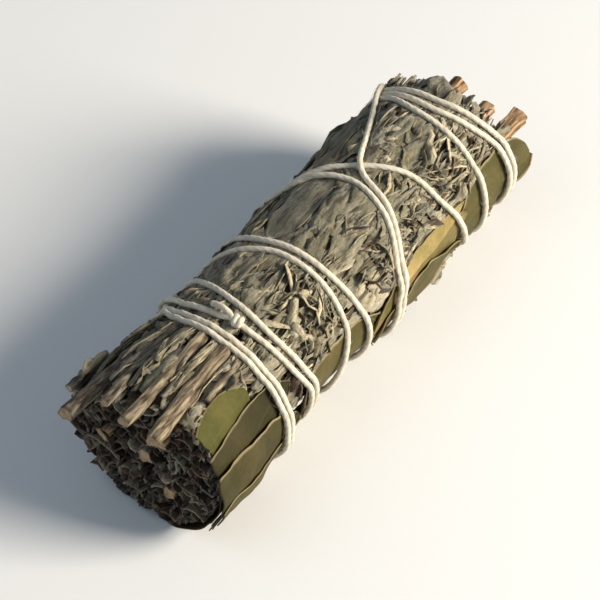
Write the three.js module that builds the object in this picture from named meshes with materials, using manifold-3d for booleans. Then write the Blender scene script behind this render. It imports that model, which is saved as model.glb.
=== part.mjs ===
// A smudge stick: a hand-tied bundle of dried sage that lies on its side.
// Ten leafy sprigs lie along +X round a common middle line. Each has a woody stem inside a pressed mass
// of small leaves. Bare stems show at the cut end (-X), stem stubs stand out at the tip end (+X), broad
// leaves wrap the side, and one cotton string binds the bundle and is knotted on top.
// Millimetres, +Z up. A place on the bundle is a station, counted along X from the cut end, and an angle
// in degrees: 0 is the -Y side, 90 the top, 180 the +Y side and -90 the underside.
import * as THREE from "three";
import { mergeVertices } from "three/addons/utils/BufferGeometryUtils.js";
import Module from "manifold-3d";

const wasm = await Module();
wasm.setup();

// Driving dimensions.
const BODY_LENGTH = 95;
const AXIS_HEIGHT = 15.9;
const CORE_RADIUS = 5.2;
const STATION_STEP = 5;
const GAP = 0.3;
const BLADE = 0.5;
const BLADE_EASE = 0.38;
const BLADE_RIM = 1.6;
const STRING_RADIUS = 0.6;
const NEAR_TIP = -9.5;
const FAR_TIP = 99.5;
const GROUND_CLEARANCE = 2.5;

// Radius of the leaf mass at every station step, from the cut end: full at the two ends and in the
// middle, waisted where the string pulls it in.
const GIRTH = [
  16.6, 16.5, 16.2, 15.7, 15.1, 14.8, 14.6, 14.5, 14.4, 14.5, 14.9, 14.8, 14.4, 14.3, 14.4, 14.6, 14.5,
  14.2, 14.1, 14.4,
];
// The same stations: 1 where the underside bulges and is pressed flat on the ground, 0 where string passes.
const RESTS = [1, 1, 1, 0, 0, 0, 0, 0, 0, 0, 0, 0, 1, 1, 1, 0, 0, 0, 0, 0];
const REST_BULGE = 16.7;

// Outer sprigs: edges of each one's sector in degrees, going round from the -Y side over the top.
const SECTOR_EDGES = [6, 42, 74, 112, 160, 205, 248, 292, 326];
const STEM_DEPTH_AT_CUT = 8.6;
// Each outer sprig: stem radius, distance of the stem's tip end from the middle line, how far the leaves
// start and end off the even cut, where the stem starts and ends, and its swing to that end in degrees.
const SPRIGS = [
  { stem: 1.7, out: 12.2, start: 0.6, end: -1.2, from: 1.0, to: FAR_TIP, swing: 11 },
  { stem: 1.5, out: 12.4, start: -0.8, end: -2.6, from: -1.5, to: 94.6, swing: -2 },
  { stem: 1.6, out: 12.3, start: 0.9, end: -4.0, from: 0.2, to: 95.0, swing: -6 },
  { stem: 1.2, out: 10.4, start: 0.2, end: -4.4, from: 1.6, to: 91.2, swing: -3 },
  { stem: 1.3, out: 10.6, start: -0.6, end: -3.0, from: -0.8, to: 92.4, swing: 2 },
  { stem: 1.4, out: 10.2, start: 0.7, end: -1.5, from: 0.4, to: 94.4, swing: -2 },
  { stem: 1.2, out: 9.8, start: -0.3, end: -0.5, from: 1.2, to: 94.2, swing: 3 },
  { stem: 1.3, out: 10.3, start: 0.4, end: -0.9, from: -0.6, to: 95.2, swing: -2 },
  { stem: 1.4, out: 10.6, start: -0.2, end: -1.0, from: 0.8, to: 94.4, swing: 2 },
];
const CORE_STEM = { radius: 1.6, from: -0.4, to: 93.4 };
const CORE_ENDS = [1, 92];

// Bare stems half sunk in the surface at the cut end: radius, then station, angle and depth of each end.
const BARE_STEMS = [
  { radius: 0.9, from: [-1.5, 151, -0.3], to: [21, 149, 1.1] },
  { radius: 1.4, from: [NEAR_TIP, 124, 0.4], to: [19, 133, 1.7] },
  { radius: 0.9, from: [-5.5, 103, -0.2], to: [20, 118, 1.1] },
  { radius: 1.1, from: [-7.0, 86, 0.0], to: [21, 91, 1.3] },
  { radius: 1.3, from: [-6.5, 65, 0.0], to: [20, 73, 1.6] },
];

// Broad leaves: middle station and angle, length, width, turn of the midrib from X in degrees, and layer.
const BROAD_LEAVES = [
  { at: [12, -8], length: 26, width: 31, turn: 6, layer: 0 },
  { at: [11.5, 2], length: 23, width: 20, turn: -10, layer: 1 },
  { at: [39, -22], length: 27, width: 23, turn: 4, layer: 0 },
  { at: [61, -14], length: 33, width: 17, turn: 12, layer: 1 },
  { at: [85.5, -4], length: 25, width: 20, turn: 5, layer: 0 },
  { at: [17, -148], length: 32, width: 15, turn: -5, layer: 0 },
  { at: [52, -172], length: 36, width: 17, turn: 8, layer: 0 },
  { at: [52, 114], length: 21, width: 8.5, turn: 5, layer: 0 },
];

// The string's stations, one row for each turn, at the angles of STRING_ANGLES going round clockwise.
const STRING_ANGLES = [150, 120, 90, 60, 30, 0, -30, -120];
const STRING_ROWS = [
  [null, null, null, 23.4, 25.0, 27.8, 28.3, 28.4],
  [30.4, 28.4, 26.4, 25.6, 27.0, 29.3, 29.8, 30.2],
  [35.4, 38.4, 40.5, 40.8, 40.3, 37.8, 35.6, 35.4],
  [42.0, 41.6, 42.4, 43.0, 44.2, 45.0, 45.2, 45.8],
  [56.0, 60.2, 61.9, 60.3, 56.8, 54.0, 53.0, 53.4],
  [57.8, 62.4, 66.6, 70.4, 71.8, 74.8, 77.2, 79.5],
  [84.6, 83.8, 82.5, 82.5, 82.3, 82.0, 82.0, 83.0],
  [86.2, 85.2, 84.8, 86.6, 89.6, 90.4, 90.2, 89.2],
  [87.8, 86.8, 87.0, 88.8, 91.2, 91.8, 91.7, 91.0],
  [89.4, 78.5, 64.4, 61.8, 58.2, 55.5, 54.5, 54.8],
  [23.4, 20.4, 19.7, 19.7, 20.0, 20.1, 20.3, 20.5],
  [21.4, 19.0, 18.2, 18.3, 18.5, 18.6, 18.7, 18.9],
  [24.9, 22.7, 22.3, null, null, null, null, null],
];
const KNOT = { station: 22.9, angle: 79, radius: 1.5 };
const TAIL = [
  [23.0, 84, 1.3],
  [23.3, 92, 1.6],
  [23.5, 101, 1.1],
];
const STRING_SIDES = 6;
const STRING_STEPS_PER_TURN = 24;
const STRING_SAMPLES_PER_SPAN = 5;
const STRING_SLOPE = 0.45;
const STRING_EASE = 0.1;

const materials = {
  sage: () => new THREE.MeshStandardMaterial({ color: 0x8d8c74, roughness: 0.95, metalness: 0 }),
  stem: () => new THREE.MeshStandardMaterial({ color: 0xa98a66, roughness: 0.85, metalness: 0 }),
  blade: () => new THREE.MeshStandardMaterial({ color: 0x6f6d42, roughness: 0.7, metalness: 0 }),
  string: () => new THREE.MeshStandardMaterial({ color: 0xe4dcc6, roughness: 0.95, metalness: 0 }),
};

const bundle = new THREE.Group();

const radians = THREE.MathUtils.degToRad;

// Value of a list given at every station step, straight between its entries.
function alongStations(list, station) {
  const place = THREE.MathUtils.clamp(station / STATION_STEP, 0, list.length - 1);
  const left = Math.min(Math.floor(place), list.length - 2);
  return THREE.MathUtils.lerp(list[left], list[left + 1], place - left);
}

// Radius of the leaf mass: its girth, a few soft lumps, and a flattened underside.
function massRadius(station, angle) {
  const a = radians(angle);
  const snapped = Math.round(station / STATION_STEP);
  const lump = 0.18 * Math.sin(3 * a + 0.9 * snapped) + 0.14 * Math.sin(5 * a - 1.3 * snapped);
  const round = alongStations(GIRTH, station) + lump;
  const down = -Math.sin(a);
  if (down <= 0.3) return round;
  if (alongStations(RESTS, station) < 1) return Math.min(round, (AXIS_HEIGHT - GROUND_CLEARANCE) / down);
  const bulge = THREE.MathUtils.lerp(round, REST_BULGE, THREE.MathUtils.smoothstep(down, 0.3, 0.9));
  return Math.min(bulge, AXIS_HEIGHT / down);
}

// The same radius as the faceted mass has it, straight between its two nearest stations.
function facetRadius(station, angle) {
  const left = Math.floor(station / STATION_STEP) * STATION_STEP;
  const low = massRadius(THREE.MathUtils.clamp(left, 0, BODY_LENGTH), angle);
  const high = massRadius(THREE.MathUtils.clamp(left + STATION_STEP, 0, BODY_LENGTH), angle);
  return THREE.MathUtils.lerp(low, high, (station - left) / STATION_STEP);
}

function onBundle(station, angle, radius) {
  const a = radians(angle);
  return new THREE.Vector3(station, -radius * Math.cos(a), AXIS_HEIGHT + radius * Math.sin(a));
}

function toSolid(geometry) {
  geometry.deleteAttribute("normal");
  geometry.deleteAttribute("uv");
  const merged = mergeVertices(geometry, 1e-4);
  return new wasm.Manifold(
    new wasm.Mesh({
      numProp: 3,
      vertProperties: merged.attributes.position.array,
      triVerts: new Uint32Array(merged.index.array),
    }),
  );
}

function toGeometry(solid) {
  const mesh = solid.getMesh();
  const geometry = new THREE.BufferGeometry();
  geometry.setAttribute("position", new THREE.BufferAttribute(mesh.vertProperties, 3));
  geometry.setIndex(new THREE.BufferAttribute(mesh.triVerts, 1));
  geometry.computeVertexNormals();
  return geometry;
}

// The largest body of a solid, without the slivers that a cut can leave.
function mainBody(solid) {
  return solid.decompose().sort((a, b) => b.volume() - a.volume())[0];
}

function addPiece(name, geometry, material) {
  const mesh = new THREE.Mesh(geometry, material);
  mesh.name = name;
  bundle.add(mesh);
}

function reshape(geometry, place) {
  const position = geometry.getAttribute("position");
  const point = new THREE.Vector3();
  for (let i = 0; i < position.count; i += 1) {
    point.fromBufferAttribute(position, i);
    place(point);
    position.setXYZ(i, point.x, point.y, point.z);
  }
  return geometry;
}

// A straight rod between two points, with flat ends across X.
function rod(from, to, radius, sides) {
  const geometry = new THREE.CylinderGeometry(radius, radius, 1, sides);
  geometry.rotateZ(-Math.PI / 2);
  return reshape(geometry, (p) => {
    const t = p.x + 0.5;
    p.set(
      THREE.MathUtils.lerp(from.x, to.x, t),
      p.y + THREE.MathUtils.lerp(from.y, to.y, t),
      p.z + THREE.MathUtils.lerp(from.z, to.z, t),
    );
  });
}

// One outer sprig's leaves: its sector of the bundle's section, extruded along X and swollen to the girth.
function sectorMass(fromAngle, toAngle, sprig) {
  const inner = CORE_RADIUS + GAP;
  const nominal = GIRTH[0];
  const corners = [];
  const arc = (radius, start, end, count) => {
    for (let i = 0; i <= count; i += 1) {
      const angle = radians(THREE.MathUtils.lerp(start, end, i / count));
      corners.push(new THREE.Vector2(-radius * Math.cos(angle), radius * Math.sin(angle)));
    }
  };
  const margin = (radius) => THREE.MathUtils.radToDeg(GAP / 2 / radius);
  arc(inner, fromAngle + margin(inner), toAngle - margin(inner), 2);
  arc(nominal, toAngle - margin(nominal), fromAngle + margin(nominal), 5);
  const geometry = new THREE.ExtrudeGeometry(new THREE.Shape(corners), {
    depth: BODY_LENGTH,
    steps: BODY_LENGTH / STATION_STEP,
    bevelEnabled: false,
  });
  return reshape(geometry, (p) => {
    const station = p.z;
    const radius = Math.hypot(p.x, p.y);
    const angle = THREE.MathUtils.radToDeg(Math.atan2(p.y, -p.x));
    const share = (radius - inner) / (nominal - inner);
    const full = inner + share * (massRadius(station, angle) - inner);
    let x = station;
    if (station === 0) x += sprig.start;
    if (station === BODY_LENGTH) x += sprig.end;
    p.copy(onBundle(x, angle, full));
  });
}

// A leaf blade's half width as a share of its full half width, from stalk (-1) to tip (1).
function bladeOutline(along) {
  return Math.max(0.12, Math.pow(1 - Math.pow(Math.abs(along), 2.6), 0.6));
}

// Where a point of a blade lies on the bundle: along runs the midrib and across its width, both -1 to 1.
function bladePlace(leaf, along, across) {
  const turn = radians(leaf.turn);
  const x = (along * leaf.length) / 2;
  const y = (across * bladeOutline(along) * leaf.width) / 2;
  const station = leaf.at[0] + x * Math.cos(turn) - y * Math.sin(turn);
  const arc = x * Math.sin(turn) + y * Math.cos(turn);
  const angle = leaf.at[1] + THREE.MathUtils.radToDeg(arc / GIRTH[0]);
  return [station, angle];
}

const bladeFloor = (leaf) => GAP + BLADE_EASE + leaf.layer * (BLADE + GAP + BLADE_EASE);

function bladeShell(leaf) {
  const geometry = new THREE.BoxGeometry(2, 2, 1, 8, 8, 1);
  return reshape(geometry, (p) => {
    const [station, angle] = bladePlace(leaf, p.x, p.y);
    const floor = facetRadius(station, angle) + bladeFloor(leaf);
    p.copy(onBundle(station, angle, floor + (p.z + 0.5) * BLADE));
  });
}

// Height of the blades over the leaf mass at a place, with a rim round each blade.
function bladeCover(station, angle) {
  let cover = 0;
  for (const leaf of BROAD_LEAVES) {
    const turn = radians(leaf.turn);
    const x = station - leaf.at[0];
    const bend = THREE.MathUtils.euclideanModulo(angle - leaf.at[1] + 180, 360) - 180;
    const y = radians(bend) * GIRTH[0];
    const along = (x * Math.cos(turn) + y * Math.sin(turn)) / (leaf.length / 2 + BLADE_RIM);
    const across = (-x * Math.sin(turn) + y * Math.cos(turn)) / (leaf.width / 2);
    const edge = bladeOutline(along) + BLADE_RIM / (leaf.width / 2);
    if (Math.abs(along) < 1 && Math.abs(across) < edge) cover = Math.max(cover, bladeFloor(leaf) + BLADE);
  }
  return cover;
}

// The string's middle line: its rows of stations joined smoothly, each turn lifted over earlier ones.
function stringLine() {
  const marks = [new THREE.Vector2(KNOT.angle, KNOT.station)];
  STRING_ROWS.forEach((row, turn) => {
    row.forEach((station, i) => {
      if (station !== null) marks.push(new THREE.Vector2(STRING_ANGLES[i] - 360 * turn, station));
    });
  });
  const lastTurn = STRING_ROWS.length - 1;
  marks.push(new THREE.Vector2(KNOT.angle - 360 * lastTurn, KNOT.station));
  const samples = [];
  const secant = (i) => (marks[i + 1].y - marks[i].y) / (marks[i + 1].x - marks[i].x);
  const slope = (i) => {
    if (i === 0 || i === marks.length - 1) return 0;
    const before = secant(i - 1);
    const after = secant(i);
    return before * after > 0 ? (2 * before * after) / (before + after) : 0;
  };
  for (let i = 0; i < marks.length - 1; i += 1) {
    const span = marks[i + 1].x - marks[i].x;
    const count = Math.max(2, Math.round((-span / 30) * STRING_SAMPLES_PER_SPAN));
    for (let k = 0; k < count; k += 1) {
      const t = k / count;
      const rise = 3 * t ** 2 - 2 * t ** 3;
      const lead = slope(i) * span * (t ** 3 - 2 * t ** 2 + t);
      const trail = slope(i + 1) * span * (t ** 3 - t ** 2);
      const station = THREE.MathUtils.lerp(marks[i].y, marks[i + 1].y, rise) + lead + trail;
      samples.push({ angle: marks[i].x + span * t, station });
    }
  }
  samples.push({ angle: marks.at(-1).x, station: marks.at(-1).y });
  const reach = 2 * STRING_RADIUS + 0.2;
  for (const s of samples) {
    const over = facetRadius(s.station, s.angle) + bladeCover(s.station, s.angle);
    s.radius = over + GAP + STRING_EASE + STRING_RADIUS;
  }
  const half = Math.round(samples.length / STRING_ROWS.length / 2);
  for (let pass = 0; pass < 6; pass += 1) {
    samples.forEach((s, i) => {
      for (let j = 0; j < i - half; j += 1) {
        const other = samples[j];
        const turn = THREE.MathUtils.euclideanModulo(s.angle - other.angle + 180, 360) - 180;
        const away = Math.hypot(s.station - other.station, radians(turn) * s.radius);
        if (away < reach) s.radius = Math.max(s.radius, other.radius + Math.sqrt(reach ** 2 - away ** 2));
      }
    });
    for (const order of [samples, [...samples].reverse()]) {
      order.forEach((s, i) => {
        if (i === 0) return;
        const last = order[i - 1];
        const step = Math.hypot(s.station - last.station, radians(s.angle - last.angle) * s.radius);
        s.radius = Math.max(s.radius, last.radius - STRING_SLOPE * step);
      });
    }
  }
  return samples.map((s) => onBundle(s.station, s.angle, s.radius));
}

function tube(points, steps) {
  const corners = [];
  for (let i = 0; i < STRING_SIDES; i += 1) {
    const angle = (2 * Math.PI * i) / STRING_SIDES;
    corners.push(new THREE.Vector2(STRING_RADIUS * Math.cos(angle), STRING_RADIUS * Math.sin(angle)));
  }
  return new THREE.ExtrudeGeometry(new THREE.Shape(corners), {
    steps,
    bevelEnabled: false,
    extrudePath: new THREE.CatmullRomCurve3(points),
  });
}

// Stems: one in each sprig, then the bare ones at the cut end.
const stems = [];
const coreFrom = onBundle(CORE_STEM.from, 0, 0);
const coreTo = onBundle(CORE_STEM.to, 0, 0);
const coreRadius = CORE_STEM.radius;
stems.push({ name: "core_stem", from: coreFrom, to: coreTo, radius: coreRadius, through: true });
SPRIGS.forEach((sprig, i) => {
  const next = i + 1 < SECTOR_EDGES.length ? SECTOR_EDGES[i + 1] : SECTOR_EDGES[0] + 360;
  const middle = (SECTOR_EDGES[i] + next) / 2;
  stems.push({
    name: `sprig_${i + 1}_stem`,
    from: onBundle(sprig.from, middle - sprig.swing / 2, STEM_DEPTH_AT_CUT),
    to: onBundle(sprig.to, middle + sprig.swing / 2, sprig.out),
    radius: sprig.stem,
    through: true,
  });
});
BARE_STEMS.forEach((stem, i) => {
  const ends = [stem.from, stem.to].map(([station, angle, depth]) => {
    return onBundle(station, angle, facetRadius(station, angle) - depth);
  });
  stems.push({ name: `bare_stem_${i + 1}`, from: ends[0], to: ends[1], radius: stem.radius });
});
for (const stem of stems) {
  addPiece(stem.name, rod(stem.from, stem.to, stem.radius, 8), materials.stem());
}

// Leaves of the sprigs, bored out where stems run through them.
// The bore of a stem that runs right through goes on past its ends, so that it is open at both.
const bores = stems.map((stem) => {
  const past = stem.through ? 0.08 : 0;
  const from = stem.from.clone().lerp(stem.to, -past);
  const to = stem.from.clone().lerp(stem.to, 1 + past);
  return toSolid(rod(from, to, stem.radius + GAP + 0.1, 8));
});
function boredOut(geometry) {
  let solid = toSolid(geometry);
  for (const bore of bores) solid = solid.subtract(bore);
  return toGeometry(mainBody(solid));
}
const core = new THREE.CylinderGeometry(CORE_RADIUS, CORE_RADIUS, CORE_ENDS[1] - CORE_ENDS[0], 12);
core.rotateZ(-Math.PI / 2);
core.translate((CORE_ENDS[0] + CORE_ENDS[1]) / 2, 0, AXIS_HEIGHT);
addPiece("core_leaves", boredOut(core), materials.sage());
SPRIGS.forEach((sprig, i) => {
  const next = i + 1 < SECTOR_EDGES.length ? SECTOR_EDGES[i + 1] : SECTOR_EDGES[0] + 360;
  const mass = boredOut(sectorMass(SECTOR_EDGES[i], next, sprig));
  addPiece(`sprig_${i + 1}_leaves`, mass, materials.sage());
});

// Broad leaves wrapped over the sprigs.
BROAD_LEAVES.forEach((leaf, i) => {
  addPiece(`broad_leaf_${i + 1}`, bladeShell(leaf), materials.blade());
});

// The binding string with its knot and short tail.
const line = stringLine();
const turns = STRING_ROWS.length - 1;
let binding = toSolid(tube(line, turns * STRING_STEPS_PER_TURN));
const knotBall = new THREE.SphereGeometry(KNOT.radius, 8, 6);
const knotRadius = facetRadius(KNOT.station, KNOT.angle) + GAP + KNOT.radius;
knotBall.translate(...onBundle(KNOT.station, KNOT.angle, knotRadius).toArray());
const tailPoints = TAIL.map(([station, angle, rise]) => {
  return onBundle(station, angle, facetRadius(station, angle) + GAP + STRING_RADIUS + rise);
});
binding = binding.add(toSolid(knotBall)).add(toSolid(tube(tailPoints, 4)));
addPiece("binding_string", toGeometry(binding), materials.string());

// The origin is at the middle of the underside of the whole bundle's box.
const box = new THREE.Box3().setFromObject(bundle);
const centre = box.getCenter(new THREE.Vector3());
bundle.position.set(-centre.x, -centre.y, 0);

export default bundle;
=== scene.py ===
"""Looks of a smudge stick: a hand-tied bundle of dried sage lying on its side.

Places on the bundle are given in millimetres along it from the cut end (station), in degrees round it
(0 the -Y side, 90 the top, 180 the +Y side, -90 the underside) and in millimetres from its middle line.
"""

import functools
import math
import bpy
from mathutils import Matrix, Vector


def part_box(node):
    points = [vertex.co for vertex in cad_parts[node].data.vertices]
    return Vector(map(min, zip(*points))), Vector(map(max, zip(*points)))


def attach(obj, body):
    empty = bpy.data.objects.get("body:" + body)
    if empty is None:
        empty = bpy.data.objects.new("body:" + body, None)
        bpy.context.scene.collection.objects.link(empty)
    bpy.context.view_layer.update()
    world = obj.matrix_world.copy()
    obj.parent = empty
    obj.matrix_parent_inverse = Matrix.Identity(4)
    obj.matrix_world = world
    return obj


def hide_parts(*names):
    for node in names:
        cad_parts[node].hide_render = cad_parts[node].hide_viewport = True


bl_info = {
    "name": "Smudge Stick",
    "version": (1, 0, 0),
    "blender": (4, 5, 0),
    "location": "View3D > Sidebar > Smudge Stick",
    "description": "Models a tied bundle of dried sage with its stems, leaves and cotton string",
    "category": "Add Mesh",
}

from collections import namedtuple

import bmesh
import bpy
import numpy as np
from bpy.props import FloatProperty, FloatVectorProperty, IntProperty, PointerProperty
from mathutils import Vector, noise

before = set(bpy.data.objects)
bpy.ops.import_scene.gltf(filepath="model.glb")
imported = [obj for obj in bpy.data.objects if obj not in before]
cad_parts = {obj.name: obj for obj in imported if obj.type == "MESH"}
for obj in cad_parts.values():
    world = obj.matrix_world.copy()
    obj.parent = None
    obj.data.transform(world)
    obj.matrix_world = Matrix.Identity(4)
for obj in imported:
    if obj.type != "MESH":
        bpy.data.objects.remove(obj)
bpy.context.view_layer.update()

MM = 0.001
BODY_LENGTH = 95.0
CORE_STEM_START = -0.4
SPRIG_COUNT = 9
SECTOR_EDGES = [6, 42, 74, 112, 160, 205, 248, 292, 326, 366]
CORE_RADIUS = 12.6
# Depth of the bed of crushed leaf under the leaves, painted near black as the shade in the gaps between them,
# and its thickness.
BED_DEPTH = 1.5
BED_THICKNESS = 2.0
STATION_STEP = 5.0
# Radii at which degrees become lengths: of the small leaves, the string and the broad leaves.
LEAF_ARC = 15.5
STRING_ARC = 16.0
BLADE_ARC = 16.2
BARE_STEM_TONES = [0.45, 0.15, 0.4, 0.75, 0.85]

low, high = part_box("core_stem")
ORIGIN = np.array([low.x / MM - CORE_STEM_START, (low.y + high.y) / 2 / MM, (low.z + high.z) / 2 / MM])
AXIS_HEIGHT = ORIGIN[2]

# Broad leaves, each one or more flaps: stations of its ends, angle of its middle, width, turn of the midrib,
# lift off the small leaves, width of a cut butt as a share (0 where the base is round) and tone.
Flap = namedtuple("Flap", "start end angle width turn lift butt tone")
BROAD_LEAVES = {
    "broad_leaf_1": [
        Flap(-0.6, 24.5, -30, 26, 0, 0.0, 0.95, 0.12),
        Flap(0.3, 14.5, 41, 8.5, 8, 0.1, 0.75, 1.0),
        Flap(-0.4, 23, 21, 9.5, 6, 0.4, 0.9, 0.12),
    ],
    "broad_leaf_2": [
        Flap(-1.2, 24, -6, 14.5, -2, 0.85, 0.97, 0.24),
        Flap(-1.0, 22, -17, 4.5, -1, 1.2, 0.9, 0.42),
        Flap(-0.6, 20, -29, 6.0, -2, 0.9, 0.9, 0.1),
    ],
    "broad_leaf_3": [Flap(25.5, 52.5, -16, 20, 4, 0.15, 0, 0.5)],
    "broad_leaf_4": [
        Flap(46, 77, -1, 12, 12, 0.2, 0, 0.66),
        Flap(48, 75, -20, 11, 8, 0.6, 0, 0.5),
        Flap(54, 76, 15, 3.6, 11, 0.7, 0, 0.85),
    ],
    "broad_leaf_5": [Flap(73, 97.5, -1, 17, 183, 0.15, 0, 0.5)],
    "broad_leaf_6": [Flap(1, 33, -148, 15, -5, 0.2, 0, 0.4)],
    "broad_leaf_7": [Flap(34, 70, -172, 17, 8, 0.2, 0, 0.5)],
    "broad_leaf_8": [Flap(43, 64, 111, 9, 5, -0.25, 0, 0.5)],
}
BLADE_THICKNESS = 0.22
# How far a flap is held under each flap that lies over it.
FLAP_GAP = 0.32

# The string's stations, one row for each turn, at these angles going round clockwise.
STRING_ANGLES = [150, 120, 90, 60, 30, 0, -30, -120]
STRING_ROWS = [
    [None, None, None, 23.4, 25.0, 27.8, 28.3, 28.4],
    [30.4, 28.4, 26.4, 25.6, 27.0, 29.3, 29.8, 30.2],
    [35.4, 38.4, 40.5, 40.8, 40.3, 37.8, 35.6, 35.4],
    [42.0, 41.6, 42.4, 43.0, 44.2, 45.0, 45.2, 45.8],
    [56.0, 60.2, 61.9, 60.3, 56.8, 54.0, 53.0, 53.4],
    [57.8, 62.4, 66.6, 70.4, 71.8, 74.8, 77.2, 79.5],
    [84.6, 83.8, 82.5, 82.5, 82.3, 82.0, 82.0, 83.0],
    [86.2, 85.2, 84.8, 86.6, 89.6, 90.4, 90.2, 89.2],
    [87.8, 86.8, 87.0, 88.8, 91.2, 91.8, 91.7, 91.0],
    [89.4, 78.5, 64.4, 61.8, 58.2, 55.5, 54.5, 54.8],
    [23.4, 20.4, 19.7, 19.7, 20.0, 20.1, 20.3, 20.5],
    [21.4, 19.0, 18.2, 18.3, 18.5, 18.6, 18.7, 18.9],
    [24.9, 22.7, 22.3, None, None, None, None, None],
]
KNOT = (22.9, 79.0)
# Station, angle and height over the leaves of points along the loose end.
TAIL = [(23.1, 86.0, 1.5), (23.2, 91.0, 1.7), (23.5, 96.0, 1.3), (23.6, 101.0, 1.0)]
ROUTE_STEP = 0.3
STRING_STEP = 0.35
STEEPEST_CLIMB = 0.35


def setting():
    """The values in the panel."""
    return bpy.context.scene.smudge_stick


# ---------------------------------------------------------------- places on the bundle


def bundle_points(station, angle, radius):
    """Points in metres, from stations, angles in radians and radii, as arrays."""
    x = ORIGIN[0] + station
    y = ORIGIN[1] - radius * np.cos(angle)
    z = ORIGIN[2] + radius * np.sin(angle)
    return np.stack([x, y, z], axis=-1) * MM


def bundle_place(co):
    """Station, angle in radians and radius of points in metres."""
    p = np.asarray(co) / MM - ORIGIN
    return p[..., 0], np.arctan2(p[..., 2], -p[..., 1]), np.hypot(p[..., 1], p[..., 2])


def coordinates(mesh):
    """The vertices of a mesh as an array."""
    co = np.empty(len(mesh.vertices) * 3)
    mesh.vertices.foreach_get("co", co)
    return co.reshape(-1, 3)


def turn_between(angle, other):
    """Angle from other to angle the short way round."""
    return np.angle(np.exp(1j * (angle - other)))


def spun(y, z, turn):
    """Points turned about the X axis."""
    return y * np.cos(turn) - z * np.sin(turn), y * np.sin(turn) + z * np.cos(turn)


def noise_at(x, y, z):
    """Smooth noise at places given by arrays or numbers."""
    return np.array([noise.noise(Vector(place)) for place in np.stack(np.broadcast_arrays(x, y, z), -1)])


class Skin:
    """Radius of the leaf mass as the frame has it, and how far leaves may rise before string and ground."""

    step = 0.5
    turn_step = math.radians(1.5)
    stations = np.arange(-8.0, 108.1, step)
    angles = np.radians(np.arange(0.0, 360.0, 1.5))
    ground_gap = 0.12
    softness = 0.35

    def __init__(self):
        rows = self.measured()
        blur = np.array([0.25, 0.5, 0.25])
        grid = np.stack([np.interp(self.stations, np.arange(len(rows)) * STATION_STEP, c) for c in rows.T], 1)
        for _ in range(8):
            padded = np.pad(grid, ((1, 1), (0, 0)), mode="edge")
            grid = padded[:-2] * blur[0] + padded[1:-1] * blur[1] + padded[2:] * blur[2]
            grid = np.roll(grid, 1, 1) * blur[0] + grid * blur[1] + np.roll(grid, -1, 1) * blur[2]
        self.grid = grid
        down = np.maximum(-np.sin(self.angles), 0.05)
        self.cap = np.tile((AXIS_HEIGHT - self.ground_gap) / down, (len(self.stations), 1))

    def measured(self):
        """Radii of the leaf solids, a row for each station and a column for each angle."""
        nodes = [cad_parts[f"sprig_{i + 1}_leaves"] for i in range(SPRIG_COUNT)]
        found = np.concatenate([np.stack(bundle_place(coordinates(node.data)), 1) for node in nodes])
        found = found[found[:, 2] > CORE_RADIUS]
        rows = []
        for i in range(int(BODY_LENGTH / STATION_STEP) + 1):
            near = found[np.abs(found[:, 0] - i * STATION_STEP) < STATION_STEP * 0.48]
            order = np.argsort(near[:, 1])
            rows.append(np.interp(self.angles, near[order, 1], near[order, 2], period=2 * math.pi))
        return np.array(rows)

    def look_up(self, grid, station, angle):
        """Value of a grid at any places, in between its rows and columns."""
        row = np.clip((station - self.stations[0]) / self.step, 0, len(self.stations) - 1.001)
        column = np.mod(angle, 2 * math.pi) / self.turn_step
        r0, c0 = row.astype(int), column.astype(int)
        fr, fc = row - r0, column - c0
        count = len(self.angles)
        c0 = c0 % count
        c1 = (c0 + 1) % count
        top = grid[r0, c0] * (1 - fc) + grid[r0, c1] * fc
        bottom = grid[r0 + 1, c0] * (1 - fc) + grid[r0 + 1, c1] * fc
        return top * (1 - fr) + bottom * fr

    def radius(self, station, angle):
        return self.look_up(self.grid, np.asarray(station, float), np.asarray(angle, float))

    def pressed(self, station, angle, radius):
        """The radius held below the string and above the ground."""
        cap = self.look_up(self.cap, station, angle)
        over = radius - (cap - self.softness)
        held = cap - self.softness * np.exp(-np.maximum(over, 0) / self.softness)
        return np.where(over > 0, held, radius)

    def press_under(self, station, angle, radius, half):
        """Lowers the cap round a string's samples, given its middle line and half thickness."""
        rows, columns = np.meshgrid(np.arange(-8, 9), np.arange(-12, 13), indexing="ij")
        turned = np.mod(angle, 2 * math.pi)
        row = np.round((station - self.stations[0]) / self.step).astype(int)[:, None] + rows.ravel()[None]
        column = np.round(turned / self.turn_step).astype(int)[:, None] + columns.ravel()[None]
        row = np.clip(row, 0, len(self.stations) - 1)
        away_round = (column * self.turn_step - turned[:, None]) * radius[:, None]
        away = np.hypot(self.stations[row] - station[:, None], away_round)
        limit = radius[:, None] - half * 0.8 + np.maximum(away - half * 0.8, 0) * 0.9
        np.minimum.at(self.cap, (row, column % len(self.angles)), limit)


SKIN = Skin()


def blade_half_width(along, butt):
    """Share of the full width from the base (0), round or cut to a butt, to the tip (1)."""
    tip = np.power(np.clip(1 - np.clip((along - 0.42) / 0.58, 0, 1) ** 2.3, 0, 1), 0.7)
    if butt:
        base = butt + (1 - butt) * np.sin(np.pi / 2 * np.clip(along / 0.4, 0, 1))
    else:
        base = np.power(np.clip(1 - np.clip((0.42 - along) / 0.42, 0, 1) ** 2.6, 0, 1), 0.5)
    return np.minimum(base, tip)


def covering_flaps(station, angle, rim=0.0):
    """Each flap of the broad leaves, with the places that it covers."""
    for flap in (flap for leaf in BROAD_LEAVES.values() for flap in leaf):
        length, turn = flap.end - flap.start, math.radians(flap.turn)
        x = station - (flap.start + flap.end) / 2
        y = turn_between(angle, math.radians(flap.angle)) * STRING_ARC
        along = (x * math.cos(turn) + y * math.sin(turn)) / length + 0.5
        across = (-x * math.sin(turn) + y * math.cos(turn)) / (flap.width / 2)
        within = np.abs(across) < blade_half_width(along, flap.butt) + rim
        yield flap, within & (along > -rim) & (along < 1 + rim)


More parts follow.
